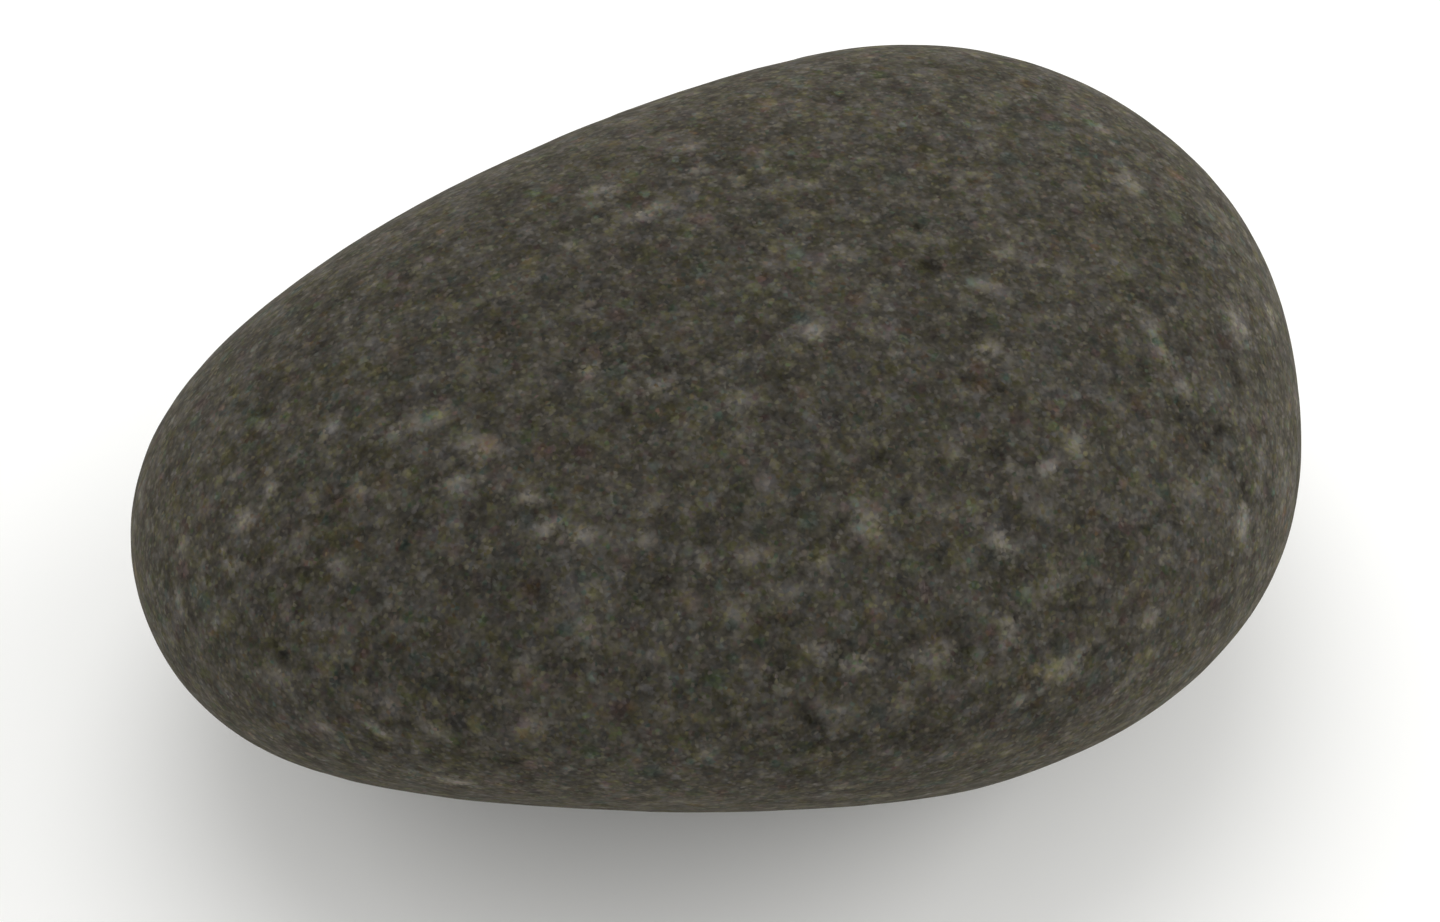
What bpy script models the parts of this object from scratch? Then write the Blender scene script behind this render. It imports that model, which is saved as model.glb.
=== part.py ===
"""River pebble: one egg-shaped stone, worn smooth and lying on its flattest side.

Metres, +Z up. The origin is under the middle of the stone, on the surface that it lies on.
The blunt end points to +X and the narrow end to -X.
"""

import math

import bmesh
import bpy
from mathutils import Vector

MM = 0.001

# Half sizes of the rough ellipsoid that the river started from
CORE_HALF_LENGTH = 41.0 * MM
CORE_HALF_WIDTH = 33.5 * MM
CORE_HALF_HEIGHT = 22.0 * MM

# Soft faces worn into it: bearing in plan from +X, tilt above level, distance from the middle
WORN_FACES = {
    "crown": (60, 80, 22.5 * MM),
    "bed": (0, -90, 20.5 * MM),
    "blunt end": (-14, 3, 42.0 * MM),
    "narrow end, back": (150, 12, 45.0 * MM),
    "narrow end, front": (-169, -20, 42.0 * MM),
    "back slope": (105, 32, 24.5 * MM),
    "back left slope": (127, 31, 31.5 * MM),
    "front underside": (-108, -37, 23.0 * MM),
    "front right underside": (-72, -33, 30.0 * MM),
    "right underside": (50, -25, 36.0 * MM),
    "back underside": (115, -25, 32.0 * MM),
}

# How crisply the worn faces meet: 2 would leave a plain ellipsoid, 20 something like a crystal
EDGE_CRISPNESS = 7.0

# Broad lumps and shallow hollows: bearing, tilt, how far it stands out, and its spread in degrees
SWELLINGS = {
    "front corner": (-68, -13, 0.15 * MM, 6),
    "front hollow": (-93, -16, -0.15 * MM, 9),
    "back hollow": (78, 4, -0.5 * MM, 17),
    "crown hollow": (-150, 66, -0.3 * MM, 14),
}

# How much of the lowest point has gone where the stone rocked on its bed
FOOT_WEAR = 0.5 * MM

# Quads along each side of the cube that is blown up into the stone
GRID = 24

STONE_COLOUR = (0.062, 0.058, 0.045, 1.0)
STONE_ROUGHNESS = 0.78


def facing(bearing, tilt):
    """The unit vector that points along a bearing and a tilt, both in degrees."""
    turn = math.radians(bearing)
    rise = math.radians(tilt)
    return Vector(
        (math.cos(rise) * math.cos(turn), math.cos(rise) * math.sin(turn), math.sin(rise))
    )


def core_share(direction):
    """One over the distance from the middle to the rough ellipsoid."""
    return math.sqrt(
        (direction.x / CORE_HALF_LENGTH) ** 2
        + (direction.y / CORE_HALF_WIDTH) ** 2
        + (direction.z / CORE_HALF_HEIGHT) ** 2
    )


def reach(direction):
    """Distance from the middle of the stone to its skin, where the core and the worn faces blend."""
    total = core_share(direction) ** EDGE_CRISPNESS
    for bearing, tilt, distance in WORN_FACES.values():
        towards = max(0.0, direction.dot(facing(bearing, tilt)))
        total += (towards / distance) ** EDGE_CRISPNESS
    skin = total ** (-1.0 / EDGE_CRISPNESS)
    for bearing, tilt, height, spread in SWELLINGS.values():
        away = (1.0 - direction.dot(facing(bearing, tilt))) / math.radians(spread) ** 2
        skin += height * math.exp(-away)
    return skin


def blown_up_cube():
    """A cube gridded into quads, with each corner pushed out to the stone's skin."""
    mesh = bmesh.new()
    bmesh.ops.create_cube(mesh, size=2.0)
    bmesh.ops.subdivide_edges(
        mesh, edges=mesh.edges[:], cuts=GRID - 1, use_grid_fill=True
    )
    for corner in mesh.verts:
        # The tangents space the quads evenly by angle
        even = Vector([math.tan(value * math.pi / 4) for value in corner.co])
        direction = even.normalized()
        corner.co = direction * reach(direction)
    return mesh


def wear_foot_flat(mesh):
    """Lifts everything below the foot's level up to it, which leaves one flat patch."""
    lowest = min(corner.co.z for corner in mesh.verts)
    for corner in mesh.verts:
        corner.co.z = max(corner.co.z, lowest + FOOT_WEAR)


def stand_on_origin(mesh):
    """Moves the stone until its foot is at height 0 and its box is centred on the Z axis."""
    low = Vector([min(corner.co[axis] for corner in mesh.verts) for axis in range(3)])
    high = Vector([max(corner.co[axis] for corner in mesh.verts) for axis in range(3)])
    middle = (low + high) / 2
    bmesh.ops.translate(mesh, verts=mesh.verts, vec=(-middle.x, -middle.y, -low.z))


def basalt():
    """Dark, matt, fine-grained rock."""
    material = bpy.data.materials.new("basalt")
    material.use_nodes = True
    shader = material.node_tree.nodes["Principled BSDF"]
    shader.inputs["Base Color"].default_value = STONE_COLOUR
    shader.inputs["Roughness"].default_value = STONE_ROUGHNESS
    shader.inputs["Metallic"].default_value = 0.0
    return material


def add_pebble():
    """The whole stone as one object."""
    mesh = blown_up_cube()
    wear_foot_flat(mesh)
    stand_on_origin(mesh)
    bmesh.ops.recalc_face_normals(mesh, faces=mesh.faces)
    data = bpy.data.meshes.new("pebble")
    mesh.to_mesh(data)
    mesh.free()
    data.shade_smooth()
    data.materials.append(basalt())
    pebble = bpy.data.objects.new("pebble", data)
    bpy.context.scene.collection.objects.link(pebble)


def clear_scene():
    """Removes whatever the file opened with."""
    for thing in list(bpy.data.objects):
        bpy.data.objects.remove(thing)


clear_scene()
add_pebble()
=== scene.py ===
import math
import random

import bmesh
import bpy
import numpy as np
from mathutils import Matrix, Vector, noise
from mathutils.bvhtree import BVHTree
from mathutils.kdtree import KDTree


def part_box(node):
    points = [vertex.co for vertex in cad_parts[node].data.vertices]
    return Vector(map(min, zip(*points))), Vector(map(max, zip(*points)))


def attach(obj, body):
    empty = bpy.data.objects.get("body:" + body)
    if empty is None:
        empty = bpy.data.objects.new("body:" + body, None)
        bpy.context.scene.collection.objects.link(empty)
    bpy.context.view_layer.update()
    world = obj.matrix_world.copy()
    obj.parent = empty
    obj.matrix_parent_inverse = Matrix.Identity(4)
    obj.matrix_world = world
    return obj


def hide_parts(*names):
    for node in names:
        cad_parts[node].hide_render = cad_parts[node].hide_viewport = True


# A river pebble of basalt, on a pale floor in soft daylight.
# The stone's form comes from the frame.
# This file lays a worn skin over it, and adds its marks, its finish and the light.

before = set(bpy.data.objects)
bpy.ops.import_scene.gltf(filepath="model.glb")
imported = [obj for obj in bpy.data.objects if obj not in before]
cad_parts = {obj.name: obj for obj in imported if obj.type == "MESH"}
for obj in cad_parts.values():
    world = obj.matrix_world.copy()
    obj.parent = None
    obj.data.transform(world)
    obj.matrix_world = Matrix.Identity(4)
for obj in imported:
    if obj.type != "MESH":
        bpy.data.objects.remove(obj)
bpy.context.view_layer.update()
mm = 0.001
pictureWidth = 1440  # pixels of the picture that the marks are placed by
pictureHeight = 922
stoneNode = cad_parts["pebble"]
stoneLow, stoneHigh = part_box("pebble")
stoneMiddle = (stoneLow + stoneHigh) / 2
print("frame loaded: stone", [round(side / mm, 1) for side in stoneHigh - stoneLow], "mm")


def directionOf(bearing, tilt):
    # unit vector from a bearing in plan and a tilt above level, in degrees
    turn = math.radians(bearing)
    rise = math.radians(tilt)
    return Vector((math.cos(rise) * math.cos(turn), math.cos(rise) * math.sin(turn), math.sin(rise)))


# Camera

camera = {
    "bearing": -105.0,  # degrees, where it stands seen from the stone: in front, a little to the left
    "tilt": 50.0,  # degrees above level
    "distance": 380 * mm,
    "frameWidth": 91.54 * mm,  # how much fits across the picture, level with the stone's middle
    "sensorWidth": 36.0,  # in mm, as on a full-frame camera
    "aimAboveMiddle": -0.25 * mm,
    "aimRightOfMiddle": -0.08 * mm,
    "nearest": 10 * mm,  # what it still sees
    "farthest": 20.0,  # metres
}
cameraAway = directionOf(camera["bearing"], camera["tilt"])
cameraTurn = (-cameraAway).to_track_quat("-Z", "Y")
cameraAim = cameraTurn @ Vector((camera["aimRightOfMiddle"], 0, 0))
cameraAim += Vector((0, 0, camera["aimAboveMiddle"]))
cameraPlace = stoneMiddle + cameraAim + cameraAway * camera["distance"]


def placeCamera():
    data = bpy.data.cameras.new("camera")
    data.sensor_width = camera["sensorWidth"]
    data.lens = camera["sensorWidth"] * camera["distance"] / camera["frameWidth"]
    data.clip_start = camera["nearest"]
    data.clip_end = camera["farthest"]
    item = bpy.data.objects.new("camera", data)
    bpy.context.scene.collection.objects.link(item)
    item.location = cameraPlace
    item.rotation_euler = cameraTurn.to_euler()
    bpy.context.scene.camera = item
    print("camera placed: lens", round(data.lens, 1), "mm")


def rayThrough(across, down):
    # direction from the camera through a pixel of the picture
    perPixel = camera["frameWidth"] / pictureWidth
    right = (across - pictureWidth / 2) * perPixel
    up = (pictureHeight / 2 - down) * perPixel
    return (cameraTurn @ Vector((right, up, -camera["distance"]))).normalized()


placeCamera()

# Skin: the visible surface

skin = {
    "doublings": 7,  # each halves the quads of a cube: 128 along an edge, 196,608 triangles
    "evenOut": 0.5,  # 0 spaces the quads evenly by angle, 1 as on a stretched ball
    "weldGap": 0.001 * mm,  # corners of the solid closer than this are one
    "cageSmoothing": 2,  # subdivisions of the solid before the skin is laid on it
    "growBack": 0.03 * mm,  # what the smoothing takes away
}


def smoothedCage():
    # the solid's own faces as quads, subdivided until its facets are gone
    mesh = bmesh.new()
    mesh.from_mesh(stoneNode.data)
    bmesh.ops.remove_doubles(mesh, verts=mesh.verts, dist=skin["weldGap"])
    bmesh.ops.join_triangles(
        mesh, faces=mesh.faces, angle_face_threshold=math.pi, angle_shape_threshold=math.pi
    )
    data = bpy.data.meshes.new("cage")
    mesh.to_mesh(data)
    mesh.free()
    item = bpy.data.objects.new("cage", data)
    bpy.context.scene.collection.objects.link(item)
    subdivision = item.modifiers.new("smooth", "SUBSURF")
    subdivision.levels = skin["cageSmoothing"]
    subdivision.render_levels = skin["cageSmoothing"]
    shape = item.evaluated_get(bpy.context.evaluated_depsgraph_get()).to_mesh()
    tree = BVHTree.FromPolygons(
        [corner.co.copy() for corner in shape.vertices], [face.vertices[:] for face in shape.polygons]
    )
    bpy.data.objects.remove(item)
    bpy.data.meshes.remove(data)
    return tree


def griddedBall():
    # a cube cut into even quads, whose corners give the skin's directions from the middle
    bpy.ops.mesh.primitive_cube_add(size=2)
    item = bpy.context.object
    cuts = item.modifiers.new("cuts", "SUBSURF")
    cuts.subdivision_type = "SIMPLE"
    cuts.levels = skin["doublings"]
    cuts.render_levels = skin["doublings"]
    shape = item.evaluated_get(bpy.context.evaluated_depsgraph_get())
    data = bpy.data.meshes.new_from_object(shape)
    cube = item.data
    bpy.data.objects.remove(item)
    bpy.data.meshes.remove(cube)
    corners = np.zeros(len(data.vertices) * 3)
    data.vertices.foreach_get("co", corners)
    corners = np.tan(corners.reshape(-1, 3) * math.pi / 4)  # evens out the quads seen from the middle
    stretch = np.array(stoneHigh - stoneLow) ** skin["evenOut"]
    corners = corners / np.linalg.norm(corners, axis=1)[:, None] * stretch
    return data, corners / np.linalg.norm(corners, axis=1)[:, None]


def laySkin():
    data, outward = griddedBall()
    places = np.zeros_like(outward)
    facing = np.zeros_like(outward)
    for number, ray in enumerate(outward):
        places[number], facing[number] = cage.ray_cast(stoneMiddle, Vector(ray))[:2]
    places += outward * skin["growBack"]
    return data, places, facing


cage = smoothedCage()
skinMesh, skinPlaces, skinFacing = laySkin()
print("skin laid:", len(skinMesh.polygons) * 2, "triangles")

# Relief: what the river's knocks and the weather left

relief = {
    "seed": 11,
    "swells": [
        # width, height
        (14 * mm, 0.10 * mm), (6 * mm, 0.04 * mm), (2.8 * mm, 0.02 * mm), (1.4 * mm, 0.012 * mm),
    ],
    "layerShift": (31.0, 17.0),  # moves each layer of swells on, so that no two line up
    "pits": 650,
    "pitRadius": (0.4 * mm, 1.2 * mm),
    "pitDepth": (0.01 * mm, 0.09 * mm),
    "pitRarity": 2,  # the higher, the fewer pits are near the larger size
    "pitStretch": (1.0, 1.8),  # length as a multiple of the width
}
spotEdge = {
    # how a pit or a mark fades
    "reach": 1.4,  # it ends at this multiple of its size
    "tightness": 1.35,  # the higher, the nearer to its middle it starts to fade
    "steepness": 4,
}
turnGuide = directionOf(20, 10)  # random turns along the skin are counted from it


def swellHeights():
    heights = np.zeros(len(skinPlaces))
    across, along = relief["layerShift"]
    for layer, (width, height) in enumerate(relief["swells"]):
        shift = Vector((across * layer, along * layer, relief["seed"]))
        for number, place in enumerate(skinPlaces):
            heights[number] += height * noise.noise(Vector(place) / width + shift)
    return heights


skinTree = KDTree(len(skinPlaces))
for number, place in enumerate(skinPlaces):
    skinTree.insert(place, number)
skinTree.balance()


def stamp(field, centre, normal, along, halfLength, halfWidth, strength, keepHighest):
    # adds a soft oval spot to a value that the skin's corners carry
    across = normal.cross(along)
    reach = max(halfLength, halfWidth) * spotEdge["reach"]
    for place, number, gap in skinTree.find_range(centre, reach):
        away = place - centre
        share = math.hypot(away.dot(along) / halfLength, away.dot(across) / halfWidth)
        if share < spotEdge["reach"]:
            amount = strength / (1 + (share * spotEdge["tightness"]) ** spotEdge["steepness"])
            field[number] = max(field[number], amount) if keepHighest else field[number] + amount


def sidewaysOf(normal, turn, guide):
    # a direction along the surface, turned from where the guide points
    along = (guide - normal * guide.dot(normal)).normalized()
    return along * math.cos(turn) + normal.cross(along) * math.sin(turn)


def between(ends, share):
    return ends[0] + (ends[1] - ends[0]) * share


def cutPits(heights, shade):
    chance = random.Random(relief["seed"])
    for pit in range(relief["pits"]):
        number = chance.randrange(len(skinPlaces))
        centre = Vector(skinPlaces[number])
        normal = Vector(skinFacing[number])
        size = chance.random() ** relief["pitRarity"]
        radius = between(relief["pitRadius"], size)
        depth = between(relief["pitDepth"], size)
        along = sidewaysOf(normal, chance.uniform(0, math.pi), turnGuide)
        longer = chance.uniform(*relief["pitStretch"])
        stamp(heights, centre, normal, along, radius * longer, radius, -depth, False)
        # painted shade: the colour of a pit darkens with its depth
        stamp(shade, centre, normal, along, radius * longer, radius, depth / relief["pitDepth"][1], True)


# Marks: the pale flecks and dark spots that can be told apart, each at its pixel of the picture
# Each is across and down in pixels, length and width in mm, turn in degrees from level, and strength.
# Where two overlap, the stronger shows.

paleMarks = {
    "leftEnd": [
        (178, 600, 2.0, 1.0, -60, 0.9), (182, 545, 1.8, 1.0, 10, 0.7), (205, 580, 2.0, 1.2, -40, 0.5),
        (210, 640, 1.5, 1.1, 0, 0.4), (231, 560, 2.0, 1.2, -50, 1.0), (244, 521, 1.8, 1.1, 5, 1.6),
        (265, 425, 1.2, 1.0, 0, 1.1), (271, 489, 1.1, 1.0, 0, 1.7), (280, 674, 2.0, 1.2, -20, 0.6),
        (298, 545, 1.1, 0.9, 0, 0.5), (298, 456, 1.1, 0.9, 0, 0.5), (320, 380, 0.9, 0.8, 0, 0.5),
        (325, 727, 1.4, 1.0, 0, 1.0), (332, 428, 1.4, 1.1, 0, 1.4), (336, 566, 1.5, 1.2, 0, 1.0),
        (360, 492, 1.5, 1.1, -30, 0.8), (378, 730, 2.0, 1.2, -30, 1.5), (388, 706, 2.2, 1.1, -10, 0.8),
        (435, 730, 2.0, 1.3, -20, 0.9), (455, 782, 3.0, 1.6, -10, 1.3),
    ],
    "middle": [
        (398, 430, 2.4, 1.3, 25, 1.0), (416, 424, 2.2, 1.4, 20, 0.6), (436, 418, 2.2, 1.2, 15, 1.0),
        (460, 487, 2.0, 1.8, 0, 1.0), (480, 447, 3.0, 1.6, -15, 1.1), (520, 664, 1.8, 1.6, 0, 0.6),
        (530, 497, 1.5, 1.3, 0, 1.3), (530, 726, 2.4, 1.4, 10, 0.8), (550, 528, 2.2, 1.1, 30, 1.3),
        (580, 534, 2.4, 1.2, 0, 1.5), (588, 372, 1.9, 1.5, 90, 1.0), (592, 632, 3.5, 2.1, -15, 0.7),
        (592, 590, 1.5, 1.2, 0, 0.6), (645, 540, 1.5, 1.1, 0, 0.8), (655, 385, 3.0, 1.9, 20, 0.7),
        (655, 505, 2.4, 1.3, 0, 0.5), (670, 705, 1.0, 0.9, 0, 0.5), (698, 752, 2.2, 1.6, -30, 0.9),
        (710, 565, 2.4, 1.5, 0, 0.7), (736, 613, 2.2, 1.4, -30, 0.6), (740, 400, 3.0, 1.6, 35, 0.6),
        (745, 435, 2.0, 1.5, 0, 0.7), (758, 556, 2.0, 1.1, 10, 0.8), (768, 722, 1.6, 1.2, 0, 0.6),
        (770, 676, 1.8, 1.5, 0, 1.0), (795, 590, 1.2, 1.0, 0, 0.5), (820, 560, 1.9, 1.4, 0, 0.9),
        (820, 650, 1.2, 1.1, 0, 1.1), (820, 755, 1.1, 1.0, 0, 0.8), (858, 661, 2.4, 1.4, 0, 1.0),
        (868, 525, 2.7, 2.2, -80, 1.1), (905, 705, 1.6, 1.1, 0, 0.8), (955, 455, 1.4, 1.2, 0, 0.6),
    ],
    "back": [
        (410, 225, 2.2, 1.2, 30, 0.6), (605, 190, 2.6, 1.2, 10, 1.1), (648, 212, 3.0, 1.5, 25, 1.1),
        (690, 150, 2.2, 1.2, 20, 0.6), (770, 105, 1.8, 1.1, 0, 0.5), (810, 185, 1.5, 1.1, 0, 0.5),
        (815, 333, 1.9, 1.6, -60, 1.5), (840, 252, 2.4, 1.2, -40, 0.6), (860, 160, 1.5, 1.1, 0, 0.5),
        (965, 212, 1.1, 1.0, 90, 0.8), (985, 285, 2.0, 1.2, 0, 0.7), (992, 350, 2.0, 1.2, -15, 1.0),
        (1003, 254, 2.1, 1.2, -10, 0.7), (1085, 235, 1.5, 1.1, -30, 0.4), (1100, 129, 2.5, 1.5, -40, 0.7),
        (1130, 182, 2.9, 1.9, -60, 1.0),
    ],
    "rightEnd": [
        (1002, 544, 2.2, 1.7, -60, 1.2), (1047, 468, 1.8, 1.1, 40, 1.2), (1055, 582, 2.4, 1.7, 30, 0.7),
        (1078, 445, 2.4, 1.7, -40, 1.0), (1108, 502, 1.5, 1.1, 0, 0.6), (1110, 400, 1.6, 1.2, 0, 0.4),
        (1150, 325, 3.0, 1.3, -60, 0.8), (1152, 618, 2.1, 1.4, 20, 1.1), (1166, 356, 2.4, 1.4, -60, 1.0),
        (1175, 190, 1.8, 1.1, -50, 0.5), (1183, 388, 2.4, 1.2, -60, 0.8), (1193, 493, 1.9, 1.4, 0, 0.6),
        (1240, 325, 2.8, 2.0, -60, 1.2), (1243, 520, 3.0, 1.6, 80, 1.4), (1260, 455, 2.0, 1.1, 80, 0.5),
        (1270, 315, 1.8, 1.4, -60, 1.3),
    ],
    "rightFront": [
        (835, 712, 2.6, 1.4, -20, 0.7), (930, 654, 3.2, 1.7, 15, 0.8), (960, 600, 1.5, 1.1, 0, 0.5),
        (1008, 630, 2.5, 1.6, 50, 1.1), (1022, 700, 2.2, 1.2, 15, 0.4), (1065, 665, 3.8, 2.1, 15, 0.9),
        (1115, 690, 3.0, 1.3, 25, 0.8),
    ],
}
# the dark spots are dark minerals, and where the stone has small pits and cracks, painted shade
darkMarks = {
    "back": [
        (240, 405, 1.5, 1.1, 0, 1.5), (760, 250, 1.6, 1.0, 0, 0.4), (882, 279, 1.8, 1.3, 0, 1.0),
        (918, 228, 2.2, 1.1, 50, 1.0), (927, 65, 2.4, 1.4, 0, 1.1), (930, 265, 3.4, 1.9, -15, 0.7),
        (1187, 265, 2.2, 1.3, -50, 1.1),
    ],
    "front": [
        (235, 560, 1.4, 1.0, -30, 0.7), (283, 654, 2.4, 1.0, -40, 1.0), (380, 748, 1.8, 1.0, 0, 0.5),
        (430, 570, 1.6, 1.0, 0, 0.5), (495, 555, 1.4, 1.0, 0, 0.5), (518, 762, 2.2, 1.3, 0, 0.9),
        (563, 664, 2.6, 1.4, 0, 0.7), (655, 578, 2.8, 2.0, -50, 0.5), (809, 717, 2.2, 1.4, -30, 0.9),
        (885, 460, 2.0, 1.2, 0, 0.6), (902, 502, 1.0, 0.9, -40, 0.6),
    ],
    "rightEnd": [
        (1022, 572, 2.2, 1.5, 20, 0.7), (1055, 640, 2.2, 1.0, 0, 0.7), (1143, 370, 2.8, 1.2, -65, 1.2),
        (1165, 517, 2.0, 1.2, -40, 0.6), (1180, 420, 1.5, 1.0, 0, 0.5), (1208, 446, 1.8, 1.0, 50, 1.4),
        (1219, 431, 2.0, 1.2, 50, 1.8), (1229, 358, 1.8, 0.9, -60, 1.3), (1234, 470, 2.2, 1.0, -60, 1.6),
        (1237, 382, 2.0, 1.1, -60, 1.6), (1246, 495, 2.4, 1.1, -60, 1.8),
    ],
}
marks = {
    "unseenPale": 230,  # flecks drawn for the whole stone, of which those out of the picture stay
    "unseenDark": 80,
    "paleLength": (1.0 * mm, 3.0 * mm),
    "darkLength": (0.9 * mm, 2.0 * mm),
    "slimness": (0.5, 0.95),  # width as a share of the length
    "paleStrength": (0.4, 1.1),
    "darkStrength": (0.4, 1.0),
    "darkDepth": 0.06 * mm,  # how far a dark spot of strength 1 is worn in
    "seed": 5,
}


def inPicture(place, normal):
    # true where the skin faces the camera
    return normal.dot(cameraPlace - place) > 0


def placeNamedMarks(field, named):
    spots = []
    level = cameraTurn @ Vector((1, 0, 0))
    for group in named.values():
        for across, down, length, width, turn, strength in group:
            centre, normal = cage.ray_cast(cameraPlace, rayThrough(across, down))[:2]
            along = sidewaysOf(normal, math.radians(turn), level)
            spots.append((centre, normal, along, length / 2 * mm, width / 2 * mm, strength))
    for spot in spots:
        stamp(field, *spot, True)
    return spots


def scatterMarks(field, count, lengths, strengths, chance):
    spots = []
    for mark in range(count):
        number = chance.randrange(len(skinPlaces))
        centre = Vector(skinPlaces[number])
        normal = Vector(skinFacing[number])
        length = chance.uniform(*lengths)
        width = length * chance.uniform(*marks["slimness"])
        along = sidewaysOf(normal, chance.uniform(0, math.pi), turnGuide)
        strength = chance.uniform(*strengths)
        if not inPicture(centre, normal):
            spots.append((centre, normal, along, length / 2, width / 2, strength))
    for spot in spots:
        stamp(field, *spot, True)
    return spots


def carryField(name, values):
    attribute = skinMesh.attributes.new(name, "FLOAT", "POINT")
    attribute.data.foreach_set("value", values.astype(np.float32))


def wearSkin():
    chance = random.Random(marks["seed"])
    heights = swellHeights()
    paintedPitShade = np.zeros(len(skinPlaces))
    feldspar = np.zeros(len(skinPlaces))
    darkness = np.zeros(len(skinPlaces))
    cutPits(heights, paintedPitShade)
    pale = placeNamedMarks(feldspar, paleMarks)
    pale += scatterMarks(feldspar, marks["unseenPale"], marks["paleLength"], marks["paleStrength"], chance)
    dark = placeNamedMarks(darkness, darkMarks)
    dark += scatterMarks(darkness, marks["unseenDark"], marks["darkLength"], marks["darkStrength"], chance)
    for centre, normal, along, halfLength, halfWidth, strength in dark:
        stamp(heights, centre, normal, along, halfLength, halfWidth, -strength * marks["darkDepth"], False)
    places = skinPlaces + skinFacing * heights[:, None]
    places[:, 2] = np.maximum(places[:, 2], 0)  # the foot stays on the floor
    skinMesh.vertices.foreach_set("co", places.ravel())
    skinMesh.update()
    skinMesh.shade_smooth()
    carryField("feldspar", feldspar)
    carryField("darkness", darkness)
    carryField("paintedPitShade", paintedPitShade)
    print("worn:", len(pale), "pale flecks,", len(dark), "dark spots,", relief["pits"], "pits")


wearSkin()
skinMesh.name = "pebble_skin"
pebble = bpy.data.objects.new("pebble_skin", skinMesh)
bpy.context.scene.collection.objects.link(pebble)

# Finish


def hexToLinear(code):
    # an sRGB colour such as "#8899AA" as linear red, green, blue and full alpha
    parts = [int(code[place : place + 2], 16) / 255 for place in (1, 3, 5)]
    linear = [part / 12.92 if part <= 0.04045 else ((part + 0.055) / 1.055) ** 2.4 for part in parts]
    return (*linear, 1.0)


nodesPerRow = 10
nodeSpacing = (200, -300)  # across and down in the shader editor


def addNode(tree, kind, inputs=None, output=0, **settings):
    # adds a node, sets it, fills its sockets with values or links, and gives back one of its outputs
    node = tree.nodes.new("ShaderNode" + kind)
    place = len(tree.nodes)
    node.location = (place % nodesPerRow * nodeSpacing[0], place // nodesPerRow * nodeSpacing[1])
    for name, value in settings.items():
        setattr(node, name, value)
    sockets = [socket for socket in node.inputs if socket.enabled]
    for name, value in (inputs or {}).items():
        socket = sockets[name] if isinstance(name, int) else next(s for s in sockets if s.name == name)
        if isinstance(value, bpy.types.NodeSocket):
            tree.links.new(value, socket)
        else:
            socket.default_value = value
    outputs = [socket for socket in node.outputs if socket.enabled]
    return outputs[output]


# Basalt, tumbled matt by the river. The eye gets a dark olive-grey ground as fine as sugar, with soft pale
# flecks of feldspar, dark pyroxene between them, and here and there a cell of olive, slate, green or rust.
# Its colour runs over "richness": pyroxene at the poorest, the plain ground at 0, feldspar at the richest.

basalt = {
    "pyroxene": "#201E1A",
    "ground": "#413E37",
    "feldspar": "#868076",
    "poorest": -0.4,
    "richest": 1.4,
    "patchWidth": 2.1,  # mm, the widest patches of the ground, which halve down to the grain
    "patchHalvings": 3.0,
    "patchEvenness": 0.95,
    "patchContrast": 1.5,
    "cells": {
        # width in mm, reach in widths from the middle, how pale the palest are, how strong the tinge can be
        "fleck": {"width": 1.5, "reach": 0.65, "paleness": 0.27, "tinge": 0.75},
        "crumb": {"width": 0.7, "reach": 0.75, "paleness": 0.42, "tinge": 0.8},
        # really 0.1 mm wide, which is too fine to show
        "grain": {"width": 0.27, "reach": 1.2, "paleness": 0.38, "tinge": 0.8},
    },
    "cellCore": 0.15,  # how many widths from its middle a cell is at its full strength
    "rarePale": 4,  # the higher, the fewer cells are pale
    # odd numbers, the higher the fewer cells: not used, olive or slate, rust or chlorite
    "rareTinge": (1, 1, 7),
    "raggedness": 0.5,  # mm, how far the edges wander
    "wanderWidth": 0.42,  # mm, over how long a stretch
    "wanderHalvings": 2.0,
    "olivineFilm": "#FCFFD4",  # the tinges, as films over the grains: what each lets through
    "slateFilm": "#EAEFFF",
    "rustFilm": "#FFDCDF",
    "chloriteFilm": "#D5FFF3",
    "markStrength": 0.7,
    "markBreakUp": (-0.32, 0.14),  # richness of the ground where a pale mark is faintest, and where full
    "markFaintest": 0.25,
    # darkens the dark spots: dark minerals, and painted shade in small pits and cracks
    "spotStrength": 0.25,
    # painted shade in the pits, darker the deeper they are
    "paintedPitShadeStrength": 0.12,
    "gritWidth": 0.3,  # mm
    "gritHalvings": 1.0,
    "gritDepth": 0.010 * mm,
    "ior": 1.55,  # feldspar's
    "specularLevel": 0.04,  # the worn surface is matt: its pores swallow nearly all of the gloss
    "silt": "#DAC8A4",  # dried in the pores, it lights the rim up warmly
    "siltCover": 0.03,
    "siltRoughness": 0.6,
    "roughness": 0.85,
    "feldsparRoughness": 0.73,  # harder, so it wears smoother
    "diffuseRoughness": 1.0,  # chalky, so it darkens little towards the rim
}


def groundRichness(tree, wandered):
    # patches within patches
    patches = addNode(tree, "TexNoise", {
        "Vector": wandered, "Scale": 1 / basalt["patchWidth"], "Detail": basalt["patchHalvings"],
        "Roughness": basalt["patchEvenness"],
    })
    contrast = basalt["patchContrast"]
    return addNode(tree, "Math", {0: patches, 1: contrast, 2: -contrast / 2}, operation="MULTIPLY_ADD")


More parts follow.
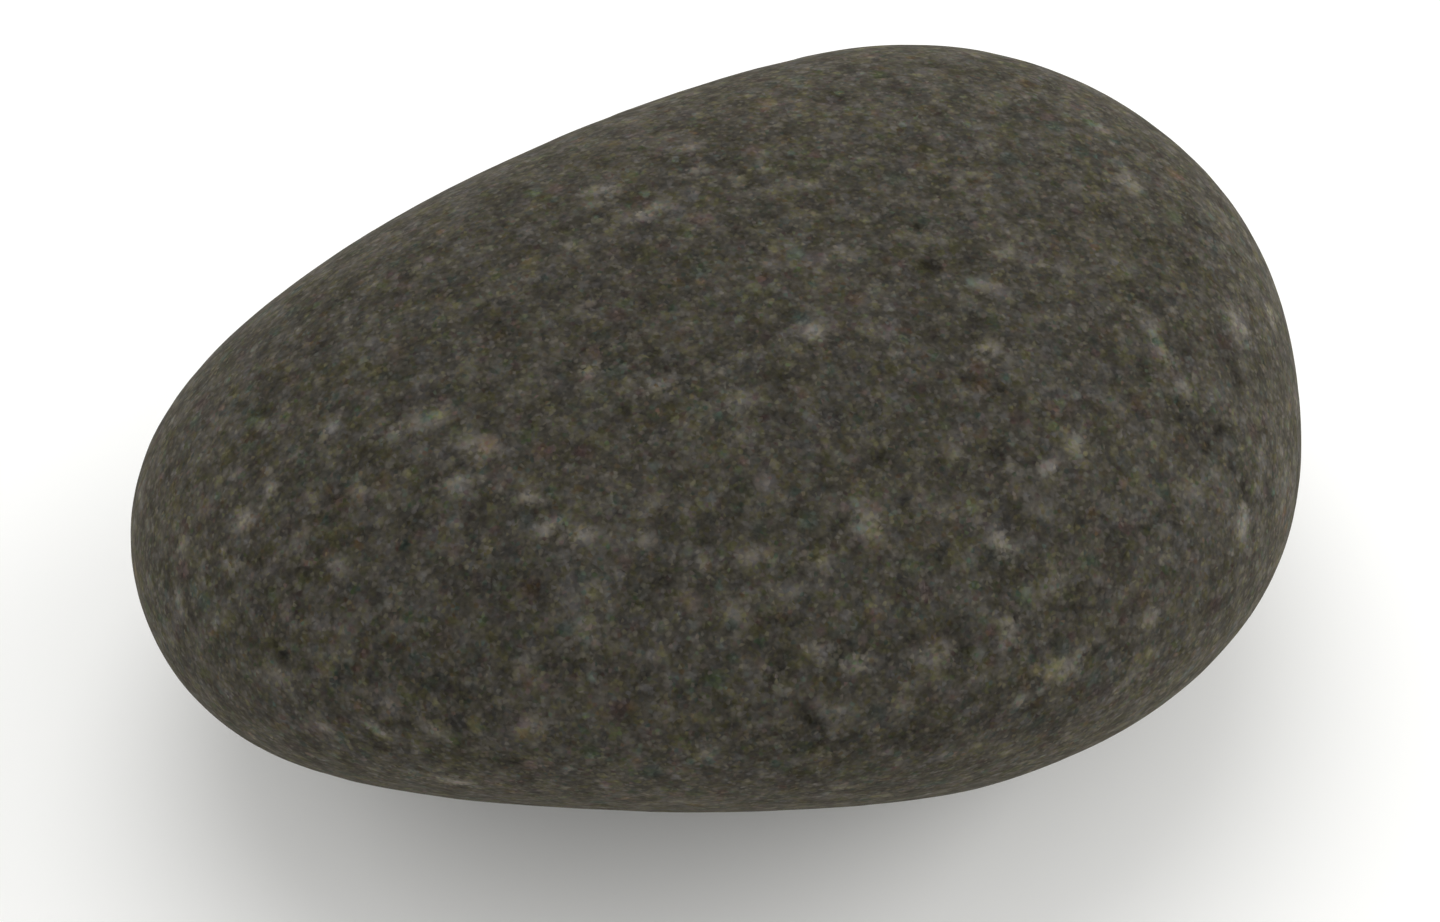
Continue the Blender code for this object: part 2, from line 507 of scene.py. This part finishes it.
def addCells(tree, inMm, wandered, richness):
    # mineral cells of three sizes: some are pale, a few have a tinge, each is strongest in its middle
    tinge = (0, 0, 0)
    for size, cell in basalt["cells"].items():
        around = inMm if size == "grain" else wandered
        apart = addNode(tree, "TexVoronoi", {"Vector": around, "Scale": 1 / cell["width"]})
        chance = apart.node.outputs["Color"]
        body = addNode(tree, "MapRange", {
            "Value": apart, "From Min": cell["reach"], "From Max": basalt["cellCore"],
        }, interpolation_type="SMOOTHSTEP")
        chosen = addNode(tree, "Math", {
            0: addNode(tree, "SeparateColor", {"Color": chance}), 1: basalt["rarePale"],
        }, operation="POWER")
        share = addNode(tree, "Math", {0: chosen, 1: body}, operation="MULTIPLY")
        richness = addNode(tree, "Math", {
            0: share, 1: cell["paleness"], 2: richness,
        }, operation="MULTIPLY_ADD")
        lean = addNode(tree, "VectorMath", {
            0: chance, 1: (2, 2, 2), 2: (-1, -1, -1),  # from 0 to 1 into -1 to 1
        }, operation="MULTIPLY_ADD")
        lean = addNode(tree, "VectorMath", {0: lean, 1: basalt["rareTinge"]}, operation="POWER")
        share = addNode(tree, "Math", {0: body, 1: cell["tinge"]}, operation="MULTIPLY")
        lean = addNode(tree, "VectorMath", {0: lean, 1: share}, operation="SCALE")
        tinge = addNode(tree, "VectorMath", {0: tinge, 1: lean}, operation="ADD")
    return richness, tinge


def addMarks(tree, richness):
    # the marks that have a place of their own, and the painted shade of the pits; the grain of the ground
    # breaks the pale ones up
    grainy = addNode(tree, "MapRange", {
        "Value": richness, "From Min": basalt["markBreakUp"][0], "From Max": basalt["markBreakUp"][1],
        "To Min": basalt["markFaintest"],
    })
    for field, strength in (
        ("feldspar", basalt["markStrength"]), ("darkness", -basalt["spotStrength"]),
        ("paintedPitShade", -basalt["paintedPitShadeStrength"]),
    ):
        here = addNode(tree, "Attribute", output=2, attribute_name=field)
        if field == "feldspar":
            here = addNode(tree, "Math", {0: here, 1: grainy}, operation="MULTIPLY")
        richness = addNode(tree, "Math", {0: here, 1: strength, 2: richness}, operation="MULTIPLY_ADD")
    return richness


def addFilms(tree, colour, tinge):
    # tints the colour by two leans, each with a film for its positive and its negative side
    for channel, above, below in ((1, "olivineFilm", "slateFilm"), (2, "rustFilm", "chloriteFilm")):
        lean = addNode(tree, "SeparateColor", {"Color": tinge}, output=channel)
        for sign, film in ((1, above), (-1, below)):
            share = addNode(tree, "Math", {0: lean, 1: sign}, operation="MULTIPLY")
            colour = addNode(tree, "Mix", {
                0: share, 1: colour, 2: hexToLinear(basalt[film]),
            }, data_type="RGBA", blend_type="MULTIPLY")
    return colour


def riverWornBasalt():
    material = bpy.data.materials.new("riverWornBasalt")
    material.use_nodes = True
    tree = material.node_tree
    shader = tree.nodes["Principled BSDF"]
    where = addNode(tree, "TexCoord", output=3)
    inMm = addNode(tree, "VectorMath", {0: where, 1: 1 / mm}, operation="SCALE")
    wander = addNode(tree, "TexNoise", {
        "Vector": inMm, "Scale": 1 / basalt["wanderWidth"], "Detail": basalt["wanderHalvings"],
    }, output=1)
    wandered = addNode(tree, "VectorMath", {
        0: wander, 1: (basalt["raggedness"],) * 3, 2: inMm,
    }, operation="MULTIPLY_ADD")

    richness = groundRichness(tree, wandered)
    richness, tinge = addCells(tree, inMm, wandered, richness)
    richness = addMarks(tree, richness)
    paleShare = addNode(tree, "MapRange", {"Value": richness, "From Max": basalt["richest"]})
    darkShare = addNode(tree, "MapRange", {"Value": richness, "From Max": basalt["poorest"]})
    colour = addNode(tree, "Mix", {
        0: paleShare, 1: hexToLinear(basalt["ground"]), 2: hexToLinear(basalt["feldspar"]),
    }, data_type="RGBA")
    colour = addNode(tree, "Mix", {
        0: darkShare, 1: colour, 2: hexToLinear(basalt["pyroxene"]),
    }, data_type="RGBA")
    colour = addFilms(tree, colour, tinge)
    tree.links.new(colour, shader.inputs["Base Color"])

    roughness = addNode(tree, "MapRange", {
        "Value": paleShare, "To Min": basalt["roughness"], "To Max": basalt["feldsparRoughness"],
    })
    tree.links.new(roughness, shader.inputs["Roughness"])
    grit = addNode(tree, "TexNoise", {
        "Vector": inMm, "Scale": 1 / basalt["gritWidth"], "Detail": basalt["gritHalvings"],
    })
    bump = addNode(tree, "Bump", {"Height": grit, "Distance": basalt["gritDepth"], "Strength": 1.0})
    tree.links.new(bump, shader.inputs["Normal"])
    shader.inputs["IOR"].default_value = basalt["ior"]
    shader.inputs["Specular IOR Level"].default_value = basalt["specularLevel"]
    shader.inputs["Diffuse Roughness"].default_value = basalt["diffuseRoughness"]
    shader.inputs["Sheen Weight"].default_value = basalt["siltCover"]
    shader.inputs["Sheen Roughness"].default_value = basalt["siltRoughness"]
    shader.inputs["Sheen Tint"].default_value = hexToLinear(basalt["silt"])
    return material


pebble.data.materials.append(riverWornBasalt())
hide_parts("pebble")
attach(pebble, "root")
print("stone finished")

# Stage

stage = {
    "floorSize": 6.0,  # metres, like the size and the distance of the lights
    "floorColour": "#F4F4F2",
    "floorRoughness": 0.9,
    "floorGlow": 0.07,  # a light table's, so that the shadows stay pale
    "skyColour": "#FFFFFF",
    "skyStrength": 0.72,
    "lightSize": 0.7,
    "lightDistance": 0.9,
    "lights": {
        # bearing and tilt seen from the stone, in degrees, and watts
        "windowRight": (0, 15, 6.8),
        "windowBack": (135, 15, 2.4),
        "ceiling": (90, 75, 2.4),
    },
}


def layFloor():
    mesh = bmesh.new()
    bmesh.ops.create_grid(mesh, x_segments=1, y_segments=1, size=stage["floorSize"] / 2)
    data = bpy.data.meshes.new("floor")
    mesh.to_mesh(data)
    mesh.free()
    material = bpy.data.materials.new("mattPaper")
    material.use_nodes = True
    shader = material.node_tree.nodes["Principled BSDF"]
    shader.inputs["Base Color"].default_value = hexToLinear(stage["floorColour"])
    shader.inputs["Roughness"].default_value = stage["floorRoughness"]
    shader.inputs["Emission Color"].default_value = hexToLinear(stage["floorColour"])
    shader.inputs["Emission Strength"].default_value = stage["floorGlow"]
    data.materials.append(material)
    item = bpy.data.objects.new("floor", data)
    bpy.context.scene.collection.objects.link(item)


def hangSoftbox(name, bearing, tilt, power):
    data = bpy.data.lights.new(name, "AREA")
    data.shape = "DISK"
    data.size = stage["lightSize"]
    data.energy = power
    item = bpy.data.objects.new(name, data)
    bpy.context.scene.collection.objects.link(item)
    away = directionOf(bearing, tilt)
    item.location = stoneMiddle + away * stage["lightDistance"]
    item.rotation_euler = (-away).to_track_quat("-Z", "Y").to_euler()


def lightRoom():
    world = bpy.data.worlds.new("paleRoom")
    world.use_nodes = True
    background = world.node_tree.nodes["Background"]
    background.inputs["Color"].default_value = hexToLinear(stage["skyColour"])
    background.inputs["Strength"].default_value = stage["skyStrength"]
    bpy.context.scene.world = world
    for name, (bearing, tilt, power) in stage["lights"].items():
        hangSoftbox(name, bearing, tilt, power)
    bpy.context.scene.view_settings.view_transform = "Standard"
    print("room lit:", len(stage["lights"]), "softboxes")


layFloor()
lightRoom()
